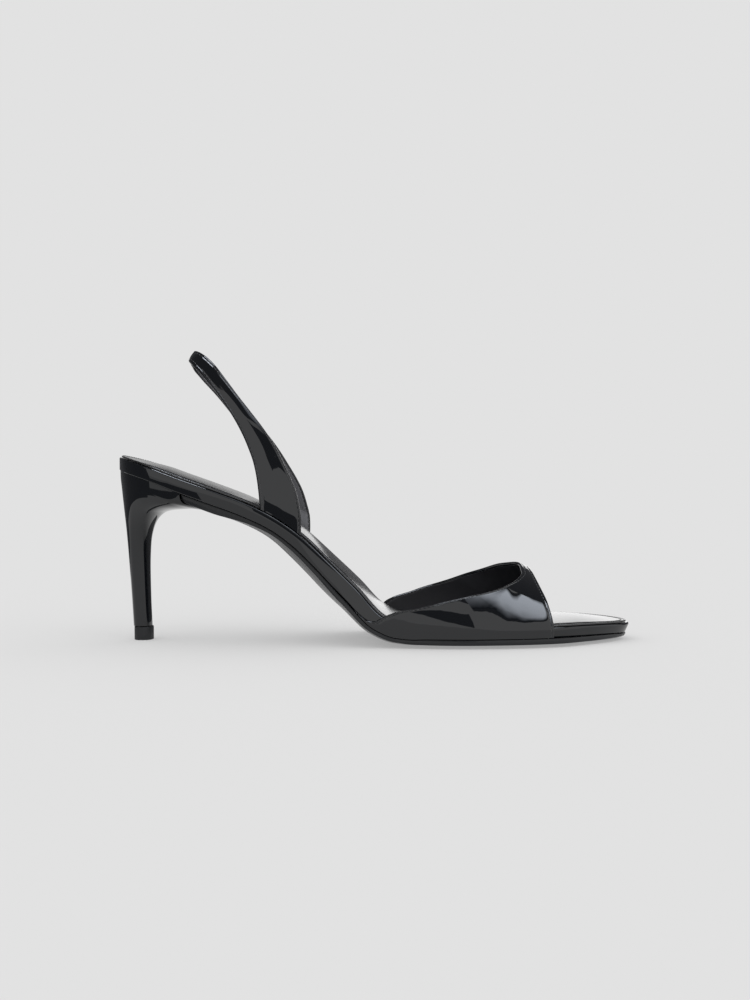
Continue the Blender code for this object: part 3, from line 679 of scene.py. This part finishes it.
# %% Sling strap
STRAP_TOP = 0.1272
SLING_REACH = 0.0243
SLING_STITCH_IN = 0.0013
SLING_CUSHION = 0.0006
SLING_CUSHION_RUN = 0.0050
SLING_BASE = 0.07
SLING = table(
    "row front_along front_up rear_along rear_up aside ahead",
    (0.000, 0.3586, 0.015, 0.2810, 0.010, 0.960, 0.0090),
    (0.060, 0.3595, 0.094, 0.2797, 0.065, 0.925, 0.0084),
    (0.125, 0.3564, 0.156, 0.2774, 0.128, 0.905, 0.0062),
    (0.190, 0.3510, 0.218, 0.2734, 0.210, 0.885, 0.0036),
    (0.260, 0.3403, 0.277, 0.2672, 0.290, 0.860, 0.0012),
    (0.330, 0.3265, 0.344, 0.2569, 0.372, 0.825, -0.0025),
    (0.410, 0.3087, 0.428, 0.2431, 0.463, 0.790, -0.0070),
    (0.490, 0.2872, 0.510, 0.2270, 0.552, 0.745, -0.0100),
    (0.570, 0.2632, 0.595, 0.2096, 0.635, 0.690, -0.0122),
    (0.650, 0.2382, 0.688, 0.1918, 0.714, 0.630, -0.0140),
    (0.730, 0.2132, 0.794, 0.1740, 0.783, 0.555, -0.0150),
    (0.810, 0.1909, 0.890, 0.1579, 0.846, 0.450, -0.0140),
    (0.880, 0.1704, 0.957, 0.1445, 0.889, 0.320, -0.0080),
    (0.945, 0.1561, 0.989, 0.1365, 0.910, 0.170, -0.0030),
    (1.000, 0.1476, 1.000, 0.1338, 0.912, 0.000, 0.0000),
)


def both_ways(name):
    """A column of the sling's table, carried on past the back so that it turns there without a corner."""
    rows = np.concatenate([SLING["row"], 2 - SLING["row"][-2::-1]])
    turned = -1.0 if name == "aside" else 1.0
    return curve_through(rows, np.concatenate([SLING[name], turned * SLING[name][-2::-1]]))


sling_columns = {name: both_ways(name) for name in SLING if name != "row"}


def up_from_sole(x, share):
    """Height of a point that share of the way up from the sole's top at x to the top of the strap."""
    sole = on_last(x, 0.0, 0.0)[..., 2]
    return sole + (STRAP_TOP - sole) * share


def sling_line(row, share):
    """Points of the sling's table at a row, between its front edge, 0, and its rear edge, 1."""
    at = {name: float(curve(row)[0]) for name, curve in sling_columns.items()}
    front_x, rear_x = SOLE_LENGTH * at["front_along"], SOLE_LENGTH * at["rear_along"]
    front_z, rear_z = up_from_sole(front_x, at["front_up"]), up_from_sole(rear_x, at["rear_up"])
    ahead = at["ahead"] * SOLE_LENGTH if row > 1.0 else 0.0
    x = front_x + (rear_x - front_x) * share + ahead
    return np.stack([x, -SLING_REACH * at["aside"] + 0.0 * x, front_z + (rear_z - front_z) * share], axis=-1)


def sling_face(row, share):
    """Outer face of the sling. Rows run from its outer base, 0, over the back, 1, to its inner base, 2."""
    points = sling_line(row, share)
    leg = min(row, 2.0 - row)
    if leg < SLING_BASE:
        table_base = sling_line(0.0 if row <= 1.0 else 2.0, share)
        side = -1.0 if row <= 1.0 else 1.0
        base = on_last(*edge(table_base[:, 0], side, -STRAP_INSET), CLEARANCE)
        points = points + (base - table_base) * (1 - ease(leg / SLING_BASE))
    return points


sling, sling_paths = folded_band(
    "sling", sling_face, np.linspace(0.0, 2.0, 361), 14, STRAP_WALL, SLING_STITCH_IN, 1.0,
    lambda inside: SLING_CUSHION * (1 - np.exp(-inside / SLING_CUSHION_RUN)), [strap_patent, sling_lining_painted_sheen],
)  # fmt: skip
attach(sling, "root")
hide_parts("sling_strap")
print(sling.name, len(sling.data.polygons), "faces")

# %% [markdown]
# Heel. A moulded block in a patent cover, slim at the floor, that spreads under the seat and ends in a
# tongue in front of it. It could be sculpted, but a loft of closed sections keeps its back and its breast
# as the smooth lines of a table. Two Boolean cuts then take away the room of the footbed and the outsole.

# %% Heel
HEEL_STEM_WIDTH = 0.0100
HEEL_SEAT_RECESS = 0.0003
SEAT_CORNER = 0.62
SEAT_JOINT = 0.00005
ROOM_HALF_WIDTH = 0.04
ROOM_HEIGHT = 0.03
HEEL = table(
    "row back_along back_up front_along front_up stem flare",
    (0.00, 0.0259, 0.000, 0.0624, 0.000, 1.00, 0.00),
    (0.10, 0.0228, 0.159, 0.0602, 0.159, 1.06, 0.00),
    (0.20, 0.0186, 0.348, 0.0591, 0.348, 1.20, 0.00),
    (0.30, 0.0150, 0.495, 0.0607, 0.489, 1.46, 0.04),
    (0.40, 0.0124, 0.589, 0.0656, 0.573, 1.80, 0.14),
    (0.50, 0.0101, 0.656, 0.0754, 0.635, 2.25, 0.30),
    (0.60, 0.0079, 0.717, 0.0923, 0.674, 2.75, 0.50),
    (0.70, 0.0058, 0.771, 0.1169, 0.687, 3.20, 0.70),
    (0.80, 0.0037, 0.826, 0.1459, 0.690, 3.60, 0.88),
    (0.90, 0.0018, 0.879, 0.1735, 0.683, 3.80, 1.00),
    (1.00, 0.0009, 0.989, 0.2060, 0.688, 4.00, 1.00),
)
TIP_DEPTH = 0.0059
HEEL_FOOT = TIP_DEPTH + CLEARANCE
STEM = table(
    "along half",
    (0.00, 0.00), (0.03, 0.45), (0.12, 0.80), (0.30, 0.98), (0.50, 1.00),
    (0.70, 0.93), (0.86, 0.70), (0.96, 0.36), (1.00, 0.00),
)  # fmt: skip
stem_squared = curve_through(STEM["along"], STEM["half"] ** 2)
STEM_SHARES = (1 - np.cos(np.linspace(0.0, math.pi, 41))) / 2


def stem_half(share):
    return np.sqrt(np.maximum(stem_squared(share)[0], 0.0))


def seat_half(share, length):
    """Half width of a heel section under the seat, rounded to a tongue in front of its corner."""
    half = BALL_WIDTH * np.sqrt(np.maximum(half_squared(length * share / SOLE_LENGTH)[0], 0.0))
    past = np.maximum(share - SEAT_CORNER, 0.0) / (1 - SEAT_CORNER)
    return np.maximum(half - HEEL_SEAT_RECESS, 0.0) * np.sqrt(np.maximum(1 - past**2, 0.0))


def ring_of(x, half, z):
    """A closed ring from its back round the outer side to its front, and home round the inner side."""
    near = np.stack([x, -half, z], axis=-1)
    far = np.stack([x, half, z], axis=-1)[-2:0:-1]
    return np.concatenate([near, far])


def room_above(name, start, end, under):
    """A cutter that holds all the space above an underside of the sole."""
    xs = SOLE_LENGTH * np.linspace(start, end, 90)
    corners = [(-ROOM_HALF_WIDTH, under(xs)), (ROOM_HALF_WIDTH, under(xs))]
    corners += [(ROOM_HALF_WIDTH, ROOM_HEIGHT), (-ROOM_HALF_WIDTH, ROOM_HEIGHT)]
    return skin(name, np.stack([on_last(xs, y, height) for y, height in corners], axis=1), [])


def make_heel():
    curves = {name: column(HEEL, name, "row") for name in HEEL if name != "row"}
    rings = []
    for row in np.linspace(0.0, 1.0, 90):
        at = {name: float(curve(row)[0]) for name, curve in curves.items()}
        back_x, front_x = SOLE_LENGTH * at["back_along"], SOLE_LENGTH * at["front_along"]
        back_z = HEEL_FOOT + (HEEL_HEIGHT - HEEL_FOOT) * at["back_up"]
        front_z = HEEL_FOOT + (HEEL_HEIGHT - HEEL_FOOT) * at["front_up"]
        stem = HEEL_STEM_WIDTH / 2 * at["stem"] * stem_half(STEM_SHARES)
        seat = seat_half(STEM_SHARES, front_x - back_x)
        rings.append(ring_of(
            back_x + (front_x - back_x) * STEM_SHARES,
            stem + (seat - stem) * at["flare"],
            back_z + (front_z - back_z) * STEM_SHARES,
        ))  # fmt: skip
    block = skin("heel_block", np.array(rings), [smooth_patent])
    rooms = [
        room_above("footbed_room", -0.05, 0.30, lambda x: -footbed_depth(x) - SEAT_JOINT),
        room_above("outsole_room", (OUTSOLE_START - CLEARANCE) / SOLE_LENGTH, 0.30,
                   lambda x: outsole_top(x) - outsole_depth(x) * rounded_start(x) - CLEARANCE),
    ]  # fmt: skip
    for room in rooms:
        cut = block.modifiers.new(room.name, "BOOLEAN")
        cut.operation = "DIFFERENCE"
        cut.solver = "EXACT"
        cut.object = room
    graph = bpy.context.evaluated_depsgraph_get()
    mesh = bpy.data.meshes.new_from_object(block.evaluated_get(graph))
    mesh.shade_smooth()
    mesh.set_sharp_from_angle(angle=SHARP)
    made = bpy.data.objects.new("heel_covered", mesh)
    bpy.context.scene.collection.objects.link(made)
    for used in (block, *rooms):
        bpy.data.objects.remove(used, do_unlink=True)
    return made


heel = make_heel()
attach(heel, "root")
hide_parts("heel")
print(heel.name, len(heel.data.polygons), "faces")

# %% [markdown]
# Top lift: the piece of rubber that meets the floor. It repeats the outline of the heel's foot, a little
# larger and with eased corners, so a loft of six rings is all that it needs.

# %% Top lift
TIP_LENGTH = 0.0084
TIP_WIDTH = 0.0106
TIP_BEVEL = 0.0003
TIP_SETBACK = 0.0003


def make_tip():
    back = SOLE_LENGTH * HEEL["back_along"][0] + TIP_SETBACK
    rings = []
    for inset, z in (
        (TIP_BEVEL, 0.0), (TIP_BEVEL * 0.3, TIP_BEVEL * 0.3), (0.0, TIP_BEVEL),
        (0.0, TIP_DEPTH - TIP_BEVEL), (TIP_BEVEL * 0.3, TIP_DEPTH - TIP_BEVEL * 0.3), (TIP_BEVEL, TIP_DEPTH),
    ):  # fmt: skip
        x = back + inset + (TIP_LENGTH - 2 * inset) * STEM_SHARES
        rings.append(ring_of(x, (TIP_WIDTH / 2 - inset) * stem_half(STEM_SHARES), z + 0.0 * x))
    return skin("heel_top_lift", np.array(rings), [rubber])


tip = make_tip()
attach(tip, "root")
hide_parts("heel_tip")
print(tip.name, len(tip.data.polygons), "faces")

# %% [markdown]
# Stitches. Sewing is the plainest case for Geometry Nodes: one path, one thread bead, repeated. The node
# group turns a path into a curve, drops a point every pitch, turns each point along the seam and puts a
# bead there. Realize Instances makes the beads real, and the whole row is kept as an ordinary mesh.

# %% The stitching node group
BEAD_SEGMENTS = 6
BEAD_RINGS = 5


def stitching_group():
    """A node group that sews beads along a path, with the pitch and the bead's length and width as inputs."""
    group = bpy.data.node_groups.new("stitching", "GeometryNodeTree")
    face = group.interface
    face.new_socket("Path", in_out="INPUT", socket_type="NodeSocketGeometry")
    for name in ("Pitch", "Length", "Width"):
        face.new_socket(name, in_out="INPUT", socket_type="NodeSocketFloat")
    face.new_socket("Thread", in_out="INPUT", socket_type="NodeSocketMaterial")
    face.new_socket("Stitches", in_out="OUTPUT", socket_type="NodeSocketGeometry")
    nodes, link = group.nodes, group.links.new
    given, made = nodes.new("NodeGroupInput"), nodes.new("NodeGroupOutput")
    to_curve = nodes.new("GeometryNodeMeshToCurve")
    drop = nodes.new("GeometryNodeCurveToPoints")
    drop.mode = "LENGTH"
    turn = nodes.new("FunctionNodeAlignRotationToVector")
    turn.axis = "Z"
    bead = nodes.new("GeometryNodeMeshUVSphere")
    bead.inputs["Segments"].default_value = BEAD_SEGMENTS
    bead.inputs["Rings"].default_value = BEAD_RINGS
    bead.inputs["Radius"].default_value = 0.5
    size = nodes.new("ShaderNodeCombineXYZ")
    place = nodes.new("GeometryNodeInstanceOnPoints")
    real = nodes.new("GeometryNodeRealizeInstances")
    soften = nodes.new("GeometryNodeSetShadeSmooth")
    paint = nodes.new("GeometryNodeSetMaterial")
    link(given.outputs["Path"], to_curve.inputs["Mesh"])
    link(to_curve.outputs["Curve"], drop.inputs["Curve"])
    link(given.outputs["Pitch"], drop.inputs["Length"])
    link(drop.outputs["Tangent"], turn.inputs["Vector"])
    link(drop.outputs["Points"], place.inputs["Points"])
    link(turn.outputs["Rotation"], place.inputs["Rotation"])
    link(bead.outputs["Mesh"], place.inputs["Instance"])
    for axis, name in (("X", "Width"), ("Y", "Width"), ("Z", "Length")):
        link(given.outputs[name], size.inputs[axis])
    link(size.outputs["Vector"], place.inputs["Scale"])
    link(place.outputs["Instances"], real.inputs["Geometry"])
    link(real.outputs["Geometry"], soften.inputs["Geometry"])
    link(soften.outputs["Geometry"], paint.inputs["Geometry"])
    link(given.outputs["Thread"], paint.inputs["Material"])
    link(paint.outputs["Geometry"], made.inputs["Stitches"])
    return group


stitching = stitching_group()
socket_of = {item.name: item.identifier for item in stitching.interface.items_tree}
print("inputs of the stitching group:", list(socket_of))


# %% Sewing along paths
def sew(name, paths, pitch, length, width):
    """Rows of stitches along world paths, as one object that rides with its piece."""
    points, edges = [], []
    for path in paths:
        start = len(points)
        points += path.tolist()
        edges += [(start + i, start + i + 1) for i in range(len(path) - 1)]
    mesh = bpy.data.meshes.new(name + "_path")
    mesh.from_pydata(points, edges, [])
    guide = bpy.data.objects.new(name + "_path", mesh)
    bpy.context.scene.collection.objects.link(guide)
    sewing = guide.modifiers.new("sewing", "NODES")
    sewing.node_group = stitching
    for socket, value in (("Pitch", pitch), ("Length", length), ("Width", width), ("Thread", thread)):
        sewing[socket_of[socket]] = value
    graph = bpy.context.evaluated_depsgraph_get()
    made = bpy.data.objects.new(name, bpy.data.meshes.new_from_object(guide.evaluated_get(graph)))
    bpy.context.scene.collection.objects.link(made)
    bpy.data.objects.remove(guide, do_unlink=True)
    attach(made, "root")
    print(name, len(made.data.polygons), "faces")
    return made


# %% Stitch rows on the toe band and the sling
STITCH_PITCH = 0.0019
STITCH_LENGTH = 0.0015
STITCH_WIDTH = 0.00034
ENDS = 4

band_rows = [path[ENDS:-ENDS] for path in vamp_paths.values()]
sew("toe_band_stitches", band_rows, STITCH_PITCH, STITCH_LENGTH, STITCH_WIDTH)
sling_rows = [path[ENDS:-ENDS] for path in sling_paths.values()]
sew("sling_stitches", sling_rows, STITCH_PITCH, STITCH_LENGTH, STITCH_WIDTH)


# %% Stitch row round the sock
SOCK_PITCH = 0.0013
SOCK_STITCH_LENGTH = 0.0010
SOCK_STITCH_WIDTH = 0.00030


def sock_seam(side):
    """The path of the sock's border stitches along one side."""
    xs = stations(0.0, 1.0, 500)
    at_x, at_y = edge(xs, side, -sock_inset(xs) - SOCK_STITCH_IN)
    return on_last(at_x, at_y, CLEARANCE + SOCK_EDGE) + PLACE


sew("sock_stitches", [sock_seam(-1), sock_seam(1)], SOCK_PITCH, SOCK_STITCH_LENGTH, SOCK_STITCH_WIDTH)

# %% [markdown]
# Studio. The floor and the walls are one pale grey. Patent leather shows the room rather than itself, so
# the room holds cards that only mirror-like rays can see. Curved panels on a large dome are the softbox
# over the photographer's shoulder, which fades to one side, and the dark room round it. Upright panels and
# strips near the shoe are the black flags whose edges draw the dark shapes on the strap, band and heel.

# %% Floor and walls
FLOOR_GREY = 0.7605
FLOOR_GLOW = 0.32
WORLD_LIGHT = 1.0
FLOOR_REACH = 40.0

floor_finish = bpy.data.materials.new("studio_floor")
floor_finish.use_nodes = True
floor_shader = floor_finish.node_tree.nodes["Principled BSDF"]
floor_shader.inputs["Base Color"].default_value = (*(FLOOR_GREY - FLOOR_GLOW,) * 3, 1.0)
floor_shader.inputs["Emission Color"].default_value = (1.0, 1.0, 1.0, 1.0)
floor_shader.inputs["Emission Strength"].default_value = FLOOR_GLOW
floor_shader.inputs["Roughness"].default_value = 1.0
floor_shader.inputs["Specular IOR Level"].default_value = 0.0

floor_mesh = bpy.data.meshes.new("studio_floor")
floor_mesh.from_pydata(
    [(-FLOOR_REACH, -FLOOR_REACH, 0), (FLOOR_REACH, -FLOOR_REACH, 0),
     (FLOOR_REACH, FLOOR_REACH, 0), (-FLOOR_REACH, FLOOR_REACH, 0)], [], [(0, 1, 2, 3)]
)  # fmt: skip
floor_mesh.materials.append(floor_finish)
floor = bpy.data.objects.new("studio_floor", floor_mesh)
bpy.context.scene.collection.objects.link(floor)

world = bpy.data.worlds.new("studio")
bpy.context.scene.world = world
world.use_nodes = True
sky = world.node_tree.nodes["Background"]
sky.inputs["Color"].default_value = (1.0, 1.0, 1.0, 1.0)
ray = world.node_tree.nodes.new("ShaderNodeLightPath")
level = world.node_tree.nodes.new("ShaderNodeMix")
level.inputs["A"].default_value = WORLD_LIGHT
level.inputs["B"].default_value = FLOOR_GREY
world.node_tree.links.new(ray.outputs["Is Camera Ray"], level.inputs["Factor"])
world.node_tree.links.new(level.outputs["Result"], sky.inputs["Strength"])
print("studio ready")


# %% Card finishes, and how a card hangs
DOME_RADIUS = 2.0
DOME_CENTRE = 0.02
CARD_STEPS = 24
FLAG = (0.115, 0.115, 0.12)


def card_finish(name, colour, strength, fading):
    """Light or black, clear from behind. A fading card follows the fade attribute of its mesh."""
    made = bpy.data.materials.new(name)
    made.use_nodes = True
    nodes, links = made.node_tree.nodes, made.node_tree.links
    nodes.clear()
    glow, clear = nodes.new("ShaderNodeEmission"), nodes.new("ShaderNodeBsdfTransparent")
    behind, mixed = nodes.new("ShaderNodeNewGeometry"), nodes.new("ShaderNodeMixShader")
    shown = nodes.new("ShaderNodeOutputMaterial")
    glow.inputs["Color"].default_value = (*colour, 1.0)
    glow.inputs["Strength"].default_value = strength
    if fading:
        share, dimmed = nodes.new("ShaderNodeAttribute"), nodes.new("ShaderNodeMath")
        share.attribute_name = "fade"
        dimmed.operation = "MULTIPLY"
        dimmed.inputs[1].default_value = strength
        links.new(share.outputs["Fac"], dimmed.inputs[0])
        links.new(dimmed.outputs["Value"], glow.inputs["Strength"])
    links.new(behind.outputs["Backfacing"], mixed.inputs[0])
    links.new(glow.outputs["Emission"], mixed.inputs[1])
    links.new(clear.outputs["BSDF"], mixed.inputs[2])
    links.new(mixed.outputs["Shader"], shown.inputs["Surface"])
    return made


def hang(name, points, faces, colour, strength, shares=()):
    """Hangs a card, hidden from the camera and from soft light, so that only mirror-like rays meet it."""
    mesh = bpy.data.meshes.new(name)
    mesh.from_pydata(points, [], faces)
    if shares:
        mesh.attributes.new("fade", "FLOAT", "POINT").data.foreach_set("value", shares)
    mesh.materials.append(card_finish(name, colour, strength, bool(shares)))
    card = bpy.data.objects.new(name, mesh)
    bpy.context.scene.collection.objects.link(card)
    card.visible_camera = False
    card.visible_diffuse = False
    card.visible_transmission = False
    card.visible_volume_scatter = False
    card.visible_shadow = False


# %% Three kinds of card
def dome_card(name, azimuths, lows, highs, colour, strength, fade=None, rise=0.0):
    """A panel on the dome, in degrees. Azimuth 0 is the camera's side and turns towards the toe; lows and
    highs give the elevations of its lower and upper edge at the first and the last azimuth. Fade gives the
    share of its light from the first azimuth to the last, and rise how far up its lower edge is soft."""
    points, shares = [], []
    for share in np.linspace(0.0, 1.0, CARD_STEPS):
        for along in np.linspace(0.0, 1.0, CARD_STEPS):
            turn = math.radians(azimuths[0] + (azimuths[1] - azimuths[0]) * along)
            low, high = lows[0] + (lows[1] - lows[0]) * along, highs[0] + (highs[1] - highs[0]) * along
            up = math.radians(low + (high - low) * share)
            flat, height = DOME_RADIUS * math.cos(up), DOME_CENTRE + DOME_RADIUS * math.sin(up)
            points.append((flat * math.sin(turn), -flat * math.cos(turn), height))
            if fade:
                light = np.interp(along, np.linspace(0.0, 1.0, len(fade)), fade)
                shares.append(float(light * np.interp(share, (0.0, rise), (0.0, 1.0))))
    rows = range(0, CARD_STEPS * (CARD_STEPS - 1), CARD_STEPS)
    faces = [(row + c, row + CARD_STEPS + c, row + CARD_STEPS + c + 1, row + c + 1)
             for row in rows for c in range(CARD_STEPS - 1)]  # fmt: skip
    hang(name, points, faces, colour, strength, shares)


def wall_card(name, centre, radius, azimuths, heights, colour, strength):
    """A panel that stands upright on an arc round a centre, between two azimuths and two heights."""
    points = []
    for height in heights:
        for turn in np.radians(np.linspace(*azimuths, CARD_STEPS)):
            points.append((centre[0] + radius * math.sin(turn), centre[1] - radius * math.cos(turn), height))
    faces = [(CARD_STEPS + c, CARD_STEPS + c + 1, c + 1, c) for c in range(CARD_STEPS - 1)]
    hang(name, points, faces, colour, strength)


def strip_card(name, depth, rear, front, colour, strength):
    """A flat upright strip at that depth, from rear to front, each as x, lower z and upper z."""
    corners = [(rear[0], depth, rear[1]), (rear[0], depth, rear[2])]
    corners += [(front[0], depth, front[2]), (front[0], depth, front[1])]
    hang(name, corners, [(0, 1, 2, 3)], colour, strength)


# %% Cards round the shoe
SOFT_WHITE = (0.84, 0.90, 1.0)
HEEL_SPOT = (-0.105, 0.0)
dome_card("flag_over_heel_side", (-180, 20), (38, 38), (76, 76), FLAG, 1.0)
dome_card("flag_under_softbox_edge", (20, 50), (29, 43), (32, 45), FLAG, 1.0)
dome_card("flag_under_softbox", (50, 114), (43, 54), (45, 56), FLAG, 1.0)
dome_card("softbox_edge", (20, 50), (32, 45), (66, 66), SOFT_WHITE, 5.6, (0.2, 0.33, 0.55), 0.3)
dome_card("softbox", (50, 114), (45, 56), (66, 66), SOFT_WHITE, 5.6, (0.55, 0.95, 1.0, 0.95), 0.25)
dome_card("flag_over_softbox", (20, 114), (66, 66), (76, 76), FLAG, 1.0)
dome_card("flag_over_toe_side", (114, 160), (16, 16), (76, 76), FLAG, 1.0)
dome_card("flag_over_glow", (160, 180), (22, 22), (76, 76), FLAG, 1.0)
dome_card("flag_over_backdrop", (-180, -100), (16, 16), (38, 38), FLAG, 1.0)
dome_card("overhead_strip", (-180, 180), (76, 76), (87, 87), SOFT_WHITE, 14.0)
dome_card("backdrop_glow", (160, 175), (-2, -2), (22, 22), (1.0, 1.0, 1.0), 1.7)
dome_card("backdrop_shade", (175, 200), (-2, -2), (16, 16), (1.0, 1.0, 1.0), 0.7)
wall_card("flag_behind_toe_side", (0.0, 0.0), 0.35, (105, 150), (0.0, 0.16), FLAG, 1.0)
wall_card("flag_behind_heel_side", (0.0, 0.0), 0.35, (-148, -115), (0.0, 0.22), FLAG, 1.0)
wall_card("flag_left_of_heel", HEEL_SPOT, 0.11, (-125, -45), (0.018, 0.40), FLAG, 1.0)
wall_card("flag_before_seat", HEEL_SPOT, 0.12, (-50, 8), (0.035, 0.062), FLAG, 1.0)
wall_card("flag_behind_breast", HEEL_SPOT, 0.11, (100, 164), (0.001, 0.055), FLAG, 1.0)
strip_card("flag_before_band", -0.190, (-0.025, 0.042, 0.056), (0.0705, 0.012, 0.080), FLAG, 1.0)
strip_card("flag_before_sling_rear", -0.170, (-0.034, 0.114, 0.190), (-0.005, 0.139, 0.190), FLAG, 1.0)
strip_card("flag_before_sling_front", -0.170, (-0.005, 0.139, 0.190), (0.059, 0.146, 0.190), FLAG, 1.0)
strip_card("flag_before_sling_foot", -0.050, (-0.052, 0.0589, 0.0682), (-0.018, 0.0372, 0.0532), FLAG, 1.0)
